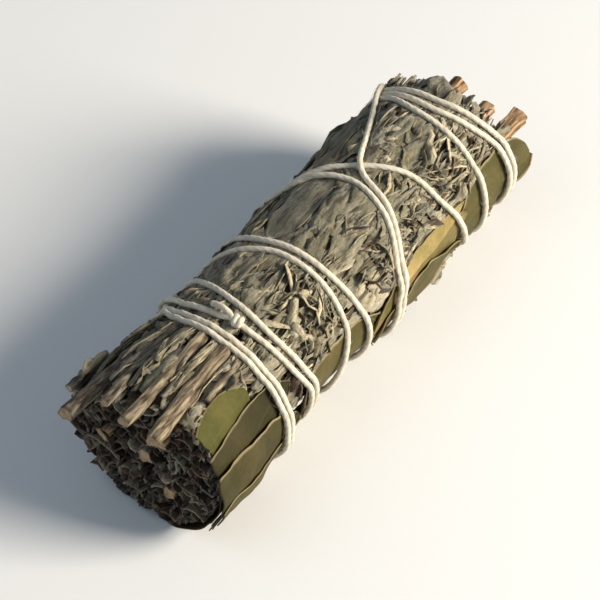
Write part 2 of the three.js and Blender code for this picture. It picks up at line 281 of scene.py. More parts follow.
def over_blade(station, angle, rim=0.0):
    """Lift of the broad leaf that covers each place, or 0 where none does."""
    lift = np.zeros_like(station)
    for flap, inside in covering_flaps(station, angle, rim):
        lift = np.where(inside, np.maximum(lift, flap.lift + 0.4), lift)
    return lift


# ---------------------------------------------------------------- small helpers


def placed(name, data):
    """An object at the origin."""
    made = bpy.data.objects.new(name, data)
    bpy.context.scene.collection.objects.link(made)
    return made


def add_piece(mesh, node, materials):
    """A finished piece in place of a node of the frame."""
    piece = placed(mesh.name, mesh)
    for material in materials:
        mesh.materials.append(material)
    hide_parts(node)
    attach(piece, "root")


def mesh_from(bm, name):
    """The mesh of a shape, which is then freed."""
    mesh = bpy.data.meshes.new(name)
    bm.to_mesh(mesh)
    bm.free()
    return mesh


def closed_mesh(bm, name):
    """The mesh of a closed shape, with its faces outward."""
    bmesh.ops.recalc_face_normals(bm, faces=bm.faces[:])
    return mesh_from(bm, name)


def rod(segments, foot, top, length, cuts):
    """A closed rod with its middle at the origin and its length along Z, cut across into rings."""
    bm = bmesh.new()
    bmesh.ops.create_cone(bm, cap_ends=True, segments=segments, radius1=foot, radius2=top, depth=length)
    sides = [e for e in bm.edges if abs(e.verts[0].co.z - e.verts[1].co.z) > length / 2]
    bmesh.ops.subdivide_edges(bm, edges=sides, cuts=cuts, use_grid_fill=True)
    return bm


def shape_of(mesh):
    """Vertices, corners in each face and the corners' vertices of a mesh, which is then removed."""
    co = coordinates(mesh)
    counts = np.array([p.loop_total for p in mesh.polygons])
    corners = np.array([i for p in mesh.polygons for i in p.vertices])
    bpy.data.meshes.remove(mesh)
    return co, counts, corners


# ---------------------------------------------------------------- materials


class Shade:
    """A node material under construction."""

    def __init__(self, name):
        self.material = bpy.data.materials.new(name)
        self.material.use_nodes = True
        self.nodes = self.material.node_tree.nodes
        self.links = self.material.node_tree.links
        self.shader = self.nodes["Principled BSDF"]

    def node(self, kind, **values):
        made = self.nodes.new("ShaderNode" + kind)
        for key, value in values.items():
            if key in made.inputs:
                made.inputs[key].default_value = value
            else:
                setattr(made, key, value)
        return made

    def link(self, source, socket):
        """Links a socket to a source, or gives it a value."""
        if hasattr(source, "is_linked"):
            self.links.new(source, socket)
        else:
            socket.default_value = (*source, 1) if isinstance(source, tuple) else source

    def paint(self, colour):
        self.link(colour, self.shader.inputs["Base Color"])

    def set(self, **values):
        for key, value in values.items():
            self.shader.inputs[key.replace("_", " ")].default_value = value

    def coordinates(self, scale=(1, 1, 1)):
        source = self.node("TexCoord")
        mapping = self.node("Mapping")
        mapping.inputs["Scale"].default_value = scale
        self.link(source.outputs["Object"], mapping.inputs["Vector"])
        return mapping.outputs["Vector"]

    def noise(self, vector, scale, detail=4.0, roughness=0.6):
        made = self.node("TexNoise", Scale=scale, Detail=detail, Roughness=roughness)
        self.link(vector, made.inputs["Vector"])
        return made.outputs["Fac"]

    def ramp(self, source, stops):
        made = self.node("ValToRGB")
        elements = made.color_ramp.elements
        while len(elements) < len(stops):
            elements.new(0.5)
        for element, (position, colour) in zip(elements, stops):
            element.position = position
            element.color = (*colour, 1)
        self.link(source, made.inputs["Fac"])
        return made.outputs["Color"]

    def mix(self, a, b, factor, mode="MIX"):
        made = self.node("Mix", data_type="RGBA", blend_type=mode)
        for value, index in ((a, 6), (b, 7), (factor, 0)):
            self.link(value, made.inputs[index])
        return made.outputs[2]

    def math(self, operation, a, b=0.0):
        made = self.node("Math", operation=operation)
        self.link(a, made.inputs[0])
        self.link(b, made.inputs[1])
        return made.outputs[0]

    def attribute(self, name):
        made = self.node("Attribute", attribute_name=name)
        split = self.node("SeparateXYZ")
        self.link(made.outputs["Vector"], split.inputs[0])
        return split.outputs

    def bump(self, height, distance, strength=1.0):
        made = self.node("Bump", Distance=distance, Strength=strength)
        self.link(height, made.inputs["Height"])
        self.link(made.outputs["Normal"], self.shader.inputs["Normal"])


@functools.cache
def sage_material():
    """Felted silvery leaf: colour by the leaf's own tone, paler midrib and rim, brown flecks, painted shade
    in the fibre creases and painted light on their ridges.
    """
    s = Shade("sage_leaf")
    _, rim, tone = s.attribute("leaf")
    colour = s.ramp(
        tone,
        [
            (0.0, (0.035, 0.020, 0.010)),
            (0.18, (0.12, 0.080, 0.045)),
            (0.36, (0.17, 0.158, 0.108)),
            (0.7, (0.29, 0.28, 0.215)),
            (1.0, (0.52, 0.465, 0.345)),
        ],
    )
    where = s.coordinates()
    mottle = s.ramp(s.noise(where, 900, 5), [(0.3, (0.62, 0.60, 0.56)), (0.7, (1.12, 1.12, 1.12))])
    colour = s.mix(colour, mottle, 0.8, "MULTIPLY")
    edge = s.ramp(
        rim,
        [
            (0.0, (1.2, 1.16, 1.08)),
            (0.25, (0.84, 0.84, 0.82)),
            (0.8, (0.95, 0.95, 0.95)),
            (1.0, (1.6, 1.5, 1.3)),
        ],
    )
    colour = s.mix(colour, edge, 0.7, "MULTIPLY")
    fleck = s.ramp(s.noise(where, 350, 2), [(0.62, (0, 0, 0)), (0.72, (1, 1, 1))])
    colour = s.mix(colour, (0.20, 0.13, 0.07), s.math("MULTIPLY", fleck, 0.35))
    # Painted shade in the creases and painted light on the ridges, from the same noise that makes the bump.
    fibres = s.noise(s.coordinates((0.22, 1, 1)), 950, 5)
    crease_shade_and_ridge_light = s.ramp(fibres, [(0.36, (0.22, 0.19, 0.15)), (0.47, (1.0, 1.0, 1.0)), (0.7, (1.2, 1.18, 1.13))])
    colour = s.mix(colour, crease_shade_and_ridge_light, 0.85, "MULTIPLY")
    s.paint(colour)
    s.set(Roughness=0.9, Sheen_Weight=0.25, Sheen_Roughness=0.5, Specular_IOR_Level=0.2)
    felt = s.math("MULTIPLY", s.noise(where, 1900, 4), 0.3)
    s.bump(s.math("ADD", fibres, felt), 0.0007, 0.9)
    return s.material


@functools.cache
def litter_and_shade_material():
    """Crushed leaf between the leaves, painted near black as the shade in the gaps between them."""
    s = Shade("leaf_litter_painted_shade")
    where = s.coordinates((0.5, 1, 1))
    colour = s.ramp(
        s.noise(where, 1400, 6),
        [(0.3, (0.006, 0.004, 0.002)), (0.55, (0.028, 0.02, 0.012)), (0.78, (0.11, 0.08, 0.05))],
    )
    s.paint(colour)
    s.set(Roughness=0.95, Specular_IOR_Level=0.1)
    s.bump(s.noise(where, 1600, 5), 0.0006, 1.0)
    return s.material


@functools.cache
def blade_material():
    """Dull olive broad leaf with faint veins, a pale rim and brown patches."""
    s = Shade("broad_leaf")
    u, v, tone = s.attribute("leaf")
    where = s.coordinates()
    colour = s.ramp(
        s.noise(where, 120, 4),
        [(0.3, (0.055, 0.052, 0.018)), (0.5, (0.088, 0.080, 0.032)), (0.7, (0.13, 0.105, 0.05))],
    )
    pale = s.ramp(
        tone,
        [
            (0.1, (0.34, 0.335, 0.20)),
            (0.55, (0.95, 0.92, 0.75)),
            (0.85, (3.2, 2.8, 2.6)),
            (1.0, (0.8, 0.88, 0.42)),
        ],
    )
    colour = s.mix(colour, pale, 1.0, "MULTIPLY")
    # Side veins leave the midrib at a slant: stripes of the length less half the distance from the midrib.
    off = s.math("ABSOLUTE", v)
    slant = s.math("SUBTRACT", s.math("MULTIPLY", u, 16.0), s.math("MULTIPLY", off, 5.0))
    wobble = s.math("MULTIPLY", s.noise(where, 200, 2), 0.8)
    stripe = s.math("ABSOLUTE", s.math("SINE", s.math("MULTIPLY", s.math("ADD", slant, wobble), math.pi)))
    vein = s.ramp(stripe, [(0.0, (1, 1, 1)), (0.12, (0, 0, 0))])
    midrib = s.ramp(off, [(0.0, (1, 1, 1)), (0.05, (0, 0, 0))])
    veins = s.mix(vein, midrib, 1.0, "LIGHTEN")
    colour = s.mix(colour, (0.24, 0.20, 0.10), s.math("MULTIPLY", veins, 0.08))
    rim = s.ramp(off, [(0.9, (0, 0, 0)), (0.97, (1, 1, 1))])
    colour = s.mix(colour, (0.42, 0.35, 0.21), s.math("MULTIPLY", rim, 0.55))
    dried = s.ramp(s.noise(where, 75, 3), [(0.6, (0, 0, 0)), (0.72, (1, 1, 1))])
    colour = s.mix(colour, (0.15, 0.075, 0.03), s.math("MULTIPLY", dried, 0.45))
    fine = s.ramp(s.noise(where, 1500, 6), [(0.3, (0.75, 0.75, 0.72)), (0.7, (1.12, 1.12, 1.1))])
    colour = s.mix(colour, fine, 0.7, "MULTIPLY")
    s.paint(colour)
    s.set(Roughness=0.7, Specular_IOR_Level=0.2)
    grain = s.math("MULTIPLY", s.noise(where, 900, 5), 0.7)
    s.bump(s.math("SUBTRACT", grain, s.math("MULTIPLY", veins, 0.1)), 0.00025, 0.5)
    return s.material


@functools.cache
def stem_material():
    """Dry thin bark with lengthwise fibres, and pale wood at the cut ends."""
    s = Shade("stem")
    _, cut, tone = s.attribute("leaf")
    where = s.coordinates((0.12, 1, 1))
    bark = s.ramp(
        s.noise(where, 1300, 6),
        [(0.32, (0.018, 0.013, 0.009)), (0.46, (0.14, 0.112, 0.08)), (0.64, (0.40, 0.345, 0.25))],
    )
    grey = s.ramp(
        tone,
        [
            (0.0, (0.4, 0.4, 0.42)),
            (0.5, (0.8, 0.85, 0.9)),
            (0.85, (1.0, 0.96, 0.88)),
            (1.0, (1.2, 0.92, 0.70)),
        ],
    )
    bark = s.mix(bark, grey, 1.0, "MULTIPLY")
    wood = s.ramp(s.noise(s.coordinates(), 1200, 4), [(0.3, (0.22, 0.15, 0.085)), (0.7, (0.50, 0.38, 0.24))])
    colour = s.mix(bark, wood, cut)
    s.paint(colour)
    s.set(Roughness=0.8, Specular_IOR_Level=0.25)
    s.bump(s.noise(where, 1500, 6), 0.0004, 0.8)
    return s.material


@functools.cache
def string_material():
    """Soft undyed cotton."""
    s = Shade("cotton_string")
    where = s.coordinates()
    colour = s.ramp(s.noise(where, 500, 4), [(0.3, (0.56, 0.51, 0.41)), (0.7, (0.76, 0.72, 0.61))])
    s.paint(colour)
    s.set(Roughness=0.92, Sheen_Weight=0.3, Specular_IOR_Level=0.2)
    s.bump(s.noise(where, 5000, 3), 0.0001, 0.6)
    return s.material


# ---------------------------------------------------------------- the string's route


def string_route():
    """Stations and angles along the string, in smooth curves that do not overshoot the listed stations."""
    marks = [(KNOT[1], KNOT[0])]
    for turn, row in enumerate(STRING_ROWS):
        marks += [(STRING_ANGLES[i] - 360 * turn, s) for i, s in enumerate(row) if s is not None]
    marks.append((KNOT[1] - 360 * (len(STRING_ROWS) - 1), KNOT[0]))
    marks = np.array(marks, float)
    secant = np.diff(marks[:, 1]) / np.diff(marks[:, 0])
    slope = np.zeros(len(marks))
    same = secant[1:] * secant[:-1] > 0
    slope[1:-1][same] = 2 * secant[1:][same] * secant[:-1][same] / (secant[1:][same] + secant[:-1][same])
    angle, station = [], []
    for i in range(len(marks) - 1):
        span = marks[i + 1, 0] - marks[i, 0]
        t = np.arange(0, 1, ROUTE_STEP / (abs(math.radians(span)) * STRING_ARC))
        blend = 3 * t**2 - 2 * t**3
        lead = slope[i] * span * (t**3 - 2 * t**2 + t)
        trail = slope[i + 1] * span * (t**3 - t**2)
        station.append(marks[i, 1] * (1 - blend) + marks[i + 1, 1] * blend + lead + trail)
        angle.append(np.radians(marks[i, 0] + span * t))
    return np.concatenate(station), np.concatenate(angle)


def eased(radius):
    """The radii, raised in place so that the string nowhere climbs or falls too steeply."""
    for order in (slice(None), slice(None, None, -1)):
        line = radius[order]
        for i in range(1, len(line)):
            line[i] = max(line[i], line[i - 1] - STEEPEST_CLIMB * ROUTE_STEP)
    return radius


@functools.cache
def laid_string():
    """The string's stations, angles and radii as it lies, and its half thickness. Leaves stay under it."""
    half = setting().string_diameter / MM / 2
    station, angle = string_route()
    radius = eased(SKIN.radius(station, angle) + over_blade(station, angle, 0.04) + half * 0.55)
    reach = 2 * half * 0.98
    half_turn = int(2 * math.pi * STRING_ARC / ROUTE_STEP) // 2
    quarter_turn = half_turn // 2
    # A quarter turn at a time, the string is raised over all that was laid before, the last quarter left out.
    for start in range(half_turn, len(station), quarter_turn):
        now = slice(start, min(start + quarter_turn, len(station)))
        before = slice(0, start - quarter_turn)
        turn = turn_between(angle[now][:, None], angle[before][None])
        away = np.hypot(station[now][:, None] - station[before][None], turn * STRING_ARC)
        lift = radius[before][None] + np.sqrt(np.maximum(reach**2 - away**2, 0))
        lift = np.where(away < reach, lift, 0).max(1)
        raised = radius.copy()
        raised[now] = np.maximum(radius[now], lift)
        eased(raised[start - quarter_turn:start + half_turn])
        radius = raised
    smooth = np.convolve(np.pad(radius, 3, mode="edge"), np.ones(7) / 7, "valid")
    SKIN.press_under(station, angle, smooth, half)
    return station, angle, smooth, half


# ---------------------------------------------------------------- leaves


def leaf_template(along, across, fold, cup, tip, stalk, thickness, scroll=0.0):
    """A closed blade: x runs 0 to 1 from stalk to tip, y is -1 to 1 across, z the fold and cup or scroll."""
    bm = bmesh.new()
    bmesh.ops.create_grid(bm, x_segments=along, y_segments=across, size=0.5)
    for v in bm.verts:
        u = v.co.x + 0.5
        side = v.co.y * 2
        width = stalk + (1 - stalk) * math.sin(math.pi * min(u * 1.15, 0.5))
        if u > 0.45:
            width *= tip + (1 - tip) * math.cos(math.pi / 2 * (u - 0.45) / 0.55) ** 0.8
        if scroll:
            turn = side * scroll + 0.5 * (u - 0.5)
            v.co = (u, math.sin(turn) * width, (1 - math.cos(turn)) * 0.7 * width)
        else:
            v.co = (u, side * width, (fold * abs(side) + cup * side * side) * width)
    bmesh.ops.solidify(bm, geom=bm.faces[:], thickness=thickness)
    return shape_of(closed_mesh(bm, "leaf_template"))


def twig_template():
    """A closed rod: x runs 0 to 1 along it, y and z are 1 at its bark."""
    bm = rod(7, 1, 0.85, 1, 6)
    for v in bm.verts:
        v.co = (v.co.z + 0.5, v.co.x, v.co.y)
    return shape_of(closed_mesh(bm, "twig_template"))


class Pile:
    """Copies of templates gathered into one mesh, with a leaf attribute: along, rim and tone."""

    lowest = 0.05 * MM

    def __init__(self):
        self.points, self.marks, self.counts, self.corners, self.slots = [], [], [], [], []
        self.total = 0

    def add(self, co, marks, counts, corners, slot=0):
        copies = len(co)
        self.points.append(co.reshape(-1, 3))
        self.marks.append(marks.reshape(-1, 3))
        offsets = self.total + np.arange(copies)[:, None] * co.shape[1]
        self.corners.append((corners[None] + offsets).ravel())
        self.counts.append(np.tile(counts, copies))
        self.slots.append(np.full(copies * len(counts), slot))
        self.total += copies * co.shape[1]

    def mesh(self, name):
        mesh = bpy.data.meshes.new(name)
        points, corners = np.concatenate(self.points), np.concatenate(self.corners)
        points[:, 2] = np.maximum(points[:, 2], self.lowest)
        counts = np.concatenate(self.counts)
        mesh.vertices.add(len(points))
        mesh.vertices.foreach_set("co", points.ravel())
        mesh.loops.add(len(corners))
        mesh.loops.foreach_set("vertex_index", corners)
        mesh.polygons.add(len(counts))
        mesh.polygons.foreach_set("loop_start", np.concatenate([[0], np.cumsum(counts)[:-1]]))
        mesh.polygons.foreach_set("material_index", np.concatenate(self.slots))
        mesh.update(calc_edges=True)
        leaf = mesh.attributes.new("leaf", "FLOAT_VECTOR", "POINT")
        leaf.data.foreach_set("vector", np.concatenate(self.marks).ravel())
        mesh.validate()
        return mesh


def leaf_templates():
    """Shapes by kind of leaf: strips, plain leaves, curls, stalks, twigs, rolled leaves and flat plates."""
    make = leaf_template
    # Cells along and across, fold, cup, widths at tip and stalk, thickness, scroll.
    return {
        "strip": [make(8, 2, 0.25, 0.0, 0.35, 0.6, 0.12), make(8, 2, -0.3, 0.1, 0.2, 0.5, 0.12)],
        "leaf": [make(6, 2, 0.5, 0.0, 0.15, 0.35, 0.12), make(6, 2, -0.4, 0.0, 0.3, 0.5, 0.12)],
        "curl": [make(5, 2, 0.8, -0.1, 0.4, 0.5, 0.14), make(5, 3, 0.0, 0.8, 0.5, 0.6, 0.14)],
        "stalk": [make(9, 2, 1.3, 0.0, 0.7, 0.9, 0.5)],
        "twig": [twig_template()],
        "scroll": [make(5, 6, 0, 0, 0.8, 0.7, 0.16, 2.3), make(5, 5, 0, 0, 0.7, 0.6, 0.16, 1.6)],
        "plate": [make(9, 4, 0.1, 0.12, 0.25, 0.45, 0.06), make(9, 4, -0.12, 0.1, 0.35, 0.6, 0.06)],
    }


# Each kind's share of all leaves, how many grow side by side, its lengths, widths and heights over the skin,
# and its spreads of heading, roll and curl.
LeafKind = namedtuple("LeafKind", "share side length width height heading roll curl")
LEAF_KINDS = {
    "strip": LeafKind(0.29, 3, (9, 24), (1.3, 3.0), (-1.6, -0.1), 0.1, 0.34, 0.01),
    "leaf": LeafKind(0.27, 3, (6, 15), (1.4, 3.2), (-1.4, 0.1), 0.24, 0.5, 0.04),
    "curl": LeafKind(0.25, 3, (3.5, 9), (1.2, 3.0), (-1.0, 0.4), 0.5, 1.0, 0.15),
    "stalk": LeafKind(0.11, 2, (9, 28), (0.5, 1.0), (-1.0, 0.25), 0.15, 0.3, 0.004),
    "scroll": LeafKind(0.07, 2, (3.5, 9), (1.2, 2.6), (-1.5, -0.2), 0.6, 0.9, 0.1),
}
# Material slots of the foliage: leaf, crushed leaf painted near black as shade, and bark.
SAGE, LITTER_AND_SHADE, BARK = range(3)
# How curly each sprig is: the sprigs near the broad leaves are the most crumpled.
CURLINESS = [1.6, 1.35, 0.8, 0.5, 0.6, 0.7, 0.7, 0.9, 1.2]
CUT_END = -0.3
# Station where each sprig's leaf tips end, and the farthest that one stands past it or short of it.
TIP_ENDS = [92.5, 90.2, 88.8, 90.2, 92.0, 93.5, 94.5, 94.2, 94.0]
TIP_RAGGED = 2.6
TANGLE_END = 90.5
CORE_TIP_END = 92.5
# How deep a leaf passes under a broad leaf, and the share of the leaves left out where the stems show.
UNDER_BLADE = 0.75
STEM_ZONE_THINNING = 0.5
# Nearest and farthest that leaf ends stand from the middle line in the end faces.
FACE_RADII = (5.0, 15.4)
SCROLL_RADII = (5.5, 14.6)
CORE_RADII = (1.9, 5.6)


def lay_leaves(pile, template, leaves, rng, tip_end, slot=SAGE):
    """Lays copies of a template on the skin. leaves holds arrays, one value for each leaf."""
    co, counts, corners = template
    one = {key: value[:, None] for key, value in leaves.items()}
    phase = rng.uniform(0, 2 * math.pi, (6, len(leaves["tone"]), 1))
    u, y0, z0 = co[None, :, 0], co[None, :, 1], co[None, :, 2]
    half = one["width"] / 2
    side = np.sign(y0)
    edge = 1 + 0.22 * np.sin(7 * u + phase[0] + 1.7 * side) + 0.12 * np.sin(17 * u + phase[1] * side)
    wave = 0.22 * np.sin(9 * u + phase[2]) + 0.3 * y0 * np.sin(8 * u + phase[3])
    x = (u - 0.25) * one["length"]
    y = y0 * half * edge
    z = z0 * half + wave * np.minimum(half, 1.2)
    y, z = spun(y, z, one["roll"] + one["twist"] * (u - 0.4))
    y = y + one["bow"] * (u - 0.3) ** 2 * one["length"] + 0.1 * half * np.sin(6 * u + phase[4])
    z = z + one["curl"] * (u - 0.3) ** 2 * one["length"]
    station = one["station"] + x * np.cos(one["heading"]) - y * np.sin(one["heading"])
    arc = x * np.sin(one["heading"]) + y * np.cos(one["heading"])
    low = CUT_END + 0.9 * np.abs(np.sin(phase[5]))
    station = station + np.maximum(low - station.min(1, keepdims=True), 0)
    high = tip_end + TIP_RAGGED * np.sin(2 * phase[5])
    station = station - np.maximum(station.max(1, keepdims=True) - high, 0)
    angle = one["angle"] + arc / LEAF_ARC
    radius = SKIN.radius(station, angle) + one["height"] + z
    radius = SKIN.pressed(station, angle, radius)
    covered = over_blade(station, angle) > 0
    radius = np.where(covered, np.minimum(radius, SKIN.radius(station, angle) - UNDER_BLADE), radius)
    # A twig has no rim: the same mark is bare cut wood there.
    rim = np.maximum(np.abs(y0), z0) if slot == SAGE else np.zeros_like(u)
    marks = np.stack(np.broadcast_arrays(u, rim, one["tone"]), -1)
    pile.add(bundle_points(station, angle, radius), marks, counts, corners, slot)


def grown(rng, kind, clusters, first, last, curliness):
    """Leaves of one kind in parallel clusters over a sector, as arrays."""
    per = kind.side
    total = clusters * per
    each = lambda low, high: np.repeat(rng.uniform(low, high, clusters), per)
    jitter = lambda size: rng.normal(0, size, total)
    heading = np.repeat(rng.normal(0, kind.heading, clusters), per)
    beside = np.tile(np.arange(per) - (per - 1) / 2, clusters) * np.mean(kind.width) * each(0.45, 0.85)
    station = each(-6, BODY_LENGTH - 3) + jitter(1.6)
    return {
        "station": station - beside * np.sin(heading),
        "angle": each(first, last) + beside * np.cos(heading) / LEAF_ARC + jitter(0.01),
        "heading": heading + jitter(kind.heading * 0.35),
        "length": each(*kind.length) * rng.uniform(0.75, 1.15, total),
        "width": each(*kind.width) * rng.uniform(0.75, 1.2, total),
        "height": each(*kind.height) + jitter(0.16),
        "roll": jitter(kind.roll) * curliness,
        "twist": jitter(kind.roll) * curliness,
        "bow": jitter(0.09),
        "curl": jitter(kind.curl) * curliness,
        "tone": np.clip(0.60 + each(-0.3, 0.28) + jitter(0.1) - 0.45 * (each(0, 1) > 0.9), 0, 1),
    }


def keep(leaves, mask):
    return {key: value[mask] for key, value in leaves.items()}


def in_stem_zone(leaves):
    """Leaves on the upper side near the cut end, where the stems show more than the leaves."""
    degrees = np.degrees(leaves["angle"])
    return (leaves["station"] < 16) & (degrees > 58) & (degrees < 155) & (leaves["height"] > -1.1)


def free_of_others(leaves):
    """Leaves that lie clear of the broad leaves and of the bare stems, or deep enough to pass under."""
    blocked = np.zeros(len(leaves["tone"]), bool)
    for share in (-0.2, 0.25, 0.7):
        reach = share * leaves["length"]
        station = leaves["station"] + reach * np.cos(leaves["heading"])
        angle = leaves["angle"] + reach * np.sin(leaves["heading"]) / LEAF_ARC
        blocked |= (over_blade(station, angle, -0.05) > 0) & (leaves["height"] > -0.9)
        for index in range(len(BARE_STEM_TONES)):
            start, end, radius = stem_ends(f"bare_stem_{index + 1}")
            (s0, a0, _), (s1, a1, _) = bundle_place(start * MM), bundle_place(end * MM)
            t = np.clip((station - s0) / (s1 - s0), 0, 1)
            beside = turn_between(angle, a0 + (a1 - a0) * t) * STRING_ARC
            blocked |= (np.abs(beside) < radius + 0.2) & (station < 19) & (leaves["height"] > -1.3)
    return keep(leaves, ~blocked)


def end_tufts(pile, rng, template, sector, radii, count, tip_end=None, thick=1.0):
    """Cut leaf ends packed side by side in the section, standing along the bundle."""
    co, counts, corners = template
    near = tip_end is None
    # The section is the other way round at the cut end, so the template is mirrored there.
    facing = -1 if near else 1
    u, y0, z0 = co[None, :, 0], co[None, :, 1] * facing, co[None, :, 2]
    one = lambda values: values[:, None]
    radius = np.sqrt(rng.uniform(radii[0] ** 2, radii[1] ** 2, count))
    angle = rng.uniform(*sector, count)
    length = rng.uniform(6, 9, count)
    half = rng.uniform(0.6, 1.5, count) * thick
    lean = rng.normal(0, 0.13, (2, count))
    proud = np.minimum(rng.normal(-0.3, 1.0, count), 1.1) if near else rng.normal(0.4, 1.3, count)
    phase = rng.uniform(0, 2 * math.pi, (2, count, 1))
    ragged = 0.25 * np.sin(2.5 * y0 + phase[0]) * (u > 0.95)
    turn = one(rng.uniform(-math.pi, math.pi, count)) + one(rng.normal(0, 0.5, count)) * u
    # Cut ends are blunt: the blade keeps its width there, where a tip would narrow.
    blunt = 1 + near * 0.9 * np.clip((u - 0.6) / 0.4, 0, 1)
    wave = (1 + 0.25 * np.sin(9 * u + phase[1])) * blunt
    y, z = spun(y0 * one(half) * wave, z0 * one(half) * wave, turn)
    inward = (1 - u) * one(length) + ragged
    x = inward - one(proud) if near else tip_end - 1.0 + one(proud) - inward
    y = y - one(radius * np.cos(angle)) + one(lean[0]) * inward
    z = z + one(radius * np.sin(angle)) + one(lean[1]) * inward
    station, around, out = bundle_place((np.stack([x, y, z], -1) + ORIGIN) * MM)
    out = np.minimum(out, SKIN.radius(station, around) - 0.9)
    out = SKIN.pressed(station, around, out)
    # Leaf ends in the cut face are near black: partly their own dark brown, partly painted shade for the cut
    # face, which faces away from the key light.
    tone = np.clip(rng.normal(0.06 if near else 0.5, 0.2, count), 0, 1)
    tone = np.where(rng.uniform(size=count) < 0.12, rng.uniform(0.4, 0.9, count), tone)
    rim = np.maximum(np.abs(y0), z0)
    marks = np.stack(np.broadcast_arrays(u, rim, one(tone)), -1)
    pile.add(bundle_points(station, around, out), marks, counts, corners)


# Places where more leaves of one kind lie together: station and angle of the middle, reach of both, how many,
# their lengths, widths and heights over the skin, spreads of heading and curl, and tones.
Tangle = namedtuple("Tangle", "kind station angle reach count length width height heading curl tone")
TANGLES = [
    # The first three plates, on the upper side, have low tones: partly their own grey-green, partly painted
    # shade for that side, which lies away from the key light.
    Tangle("plate", 35, 125, (8, 28), 22, (10, 18), (4.0, 7.0), (-0.3, 0.3), 0.22, 0.004, (0.3, 0.6)),
    Tangle("plate", 34, 88, (7, 14), 14, (9, 15), (3.5, 6.0), (-0.3, 0.3), 0.25, 0.004, (0.32, 0.68)),
    Tangle("plate", 58, 100, (13, 25), 38, (10, 18), (3.5, 6.5), (-0.3, 0.35), 0.22, 0.004, (0.32, 0.66)),
    Tangle("plate", 52, 58, (9, 14), 14, (9, 16), (3.0, 5.5), (-0.3, 0.35), 0.25, 0.004, (0.5, 0.85)),
    Tangle("plate", 51, 22, (4, 12), 22, (9, 15), (2.5, 4.5), (-0.1, 0.5), 0.12, 0.004, (0.9, 1.0)),
    Tangle("plate", 48, 180, (42, 24), 44, (9, 17), (3.0, 6.0), (-0.4, 0.3), 0.25, 0.006, (0.35, 0.8)),
    Tangle("plate", 48, 226, (42, 22), 34, (9, 17), (3.0, 6.0), (-0.4, 0.3), 0.25, 0.006, (0.35, 0.8)),
    Tangle("plate", 48, 270, (42, 22), 34, (9, 17), (3.0, 6.0), (-0.4, 0.3), 0.25, 0.006, (0.35, 0.8)),
    Tangle("plate", 60, 310, (32, 18), 20, (9, 17), (3.0, 6.0), (-0.4, 0.3), 0.25, 0.006, (0.4, 0.85)),
    Tangle("plate", 82, 100, (8, 30), 8, (8, 15), (3.0, 6.0), (-0.3, 0.3), 0.3, 0.006, (0.4, 0.8)),
    Tangle("scroll", 33, 54, (4.5, 15), 34, (5, 10), (2.2, 3.8), (-0.9, 0.1), 1.1, 0.26, (0.3, 0.9)),
    Tangle("scroll", 33, 28, (4.5, 10), 20, (5, 9), (2.0, 3.4), (-0.9, 0.1), 1.1, 0.26, (0.25, 0.9)),
    Tangle("scroll", 72, 52, (13, 20), 50, (5, 10), (1.8, 3.4), (-1.1, 0.0), 0.7, 0.2, (0.3, 1.0)),
    Tangle("curl", 66, 30, (14, 12), 70, (4, 8), (1.6, 2.8), (-0.5, 0.5), 0.9, 0.22, (0.5, 1.0)),
    Tangle("twig", 8.5, 88, (5, 14), 11, (9, 19), (0.9, 2.2), (-0.9, 0.1), 0.16, 0.004, (0.3, 0.95)),
    Tangle("twig", 8.5, 124, (5, 20), 12, (9, 19), (0.9, 2.3), (-0.9, 0.1), 0.16, 0.004, (0.2, 0.8)),
    Tangle("twig", 9, 62, (5, 9), 6, (8, 16), (0.8, 1.8), (-0.9, 0.0), 0.2, 0.004, (0.4, 0.95)),
    Tangle("stalk", 9, 100, (6, 40), 52, (7, 15), (0.5, 0.9), (-0.8, 0.4), 0.3, 0.004, (0.3, 0.9)),
]


def tangle(pile, rng, templates, region):
    """Lays the leaves of one tangle, shared among the kind's templates."""
    # Plates lie flatter than the others.
    roll, twist = (0.12, 0.16) if region.kind == "plate" else (0.6, 0.5)
    for template in templates:
        count = region.count // len(templates)
        leaves = {
            "station": rng.uniform(-1, 1, count) * region.reach[0] + region.station,
            "angle": np.radians(rng.uniform(-1, 1, count) * region.reach[1] + region.angle),
            "heading": rng.normal(0, region.heading, count),
            "length": rng.uniform(*region.length, count),
            "width": rng.uniform(*region.width, count),
            "height": rng.uniform(*region.height, count),
            "roll": rng.normal(0, roll, count),
            "twist": rng.normal(0, twist, count),
            "bow": rng.normal(0, 0.12, count),
            "curl": rng.normal(0, region.curl, count),
            "tone": rng.uniform(*region.tone, count),
        }
        slot = BARK if region.kind == "twig" else SAGE
        lay_leaves(pile, template, free_of_others(leaves), rng, TANGLE_END, slot)


def litter_and_shade_shell(first, last, tip_end):
    """The bed under a sprig's leaves, crushed leaf painted near black as the shade in the gaps: a sheet bent
    round the bundle and thickened inwards.
    """
    bm = bmesh.new()
    bmesh.ops.create_grid(bm, x_segments=64, y_segments=14, size=0.5)
    co = np.array([v.co for v in bm.verts])
    station = 1.5 + (co[:, 0] + 0.5) * (tip_end - 3.5)
    angle = first + (co[:, 1] + 0.5) * (last - first)
    radius = SKIN.pressed(station, angle, SKIN.radius(station, angle)) - BED_DEPTH
    radius = radius + 0.45 * noise_at(station * 0.6, angle * 9, 0.0)
    for v, place in zip(bm.verts, bundle_points(station, angle, radius)):
        v.co = place
    bm.normal_update()
    bmesh.ops.solidify(bm, geom=bm.faces[:], thickness=BED_THICKNESS * MM)
    return closed_mesh(bm, "litter")


# Adds a bed of crushed leaf, painted near black as shade.
def add_litter_and_shade(pile, mesh):
    co, counts, corners = shape_of(mesh)
    pile.add(co[None], np.zeros((1, len(co), 3)), counts, corners, slot=LITTER_AND_SHADE)


def add_foliage(pile, name, node):
    add_piece(pile.mesh(name), node, [sage_material(), litter_and_shade_material(), stem_material()])


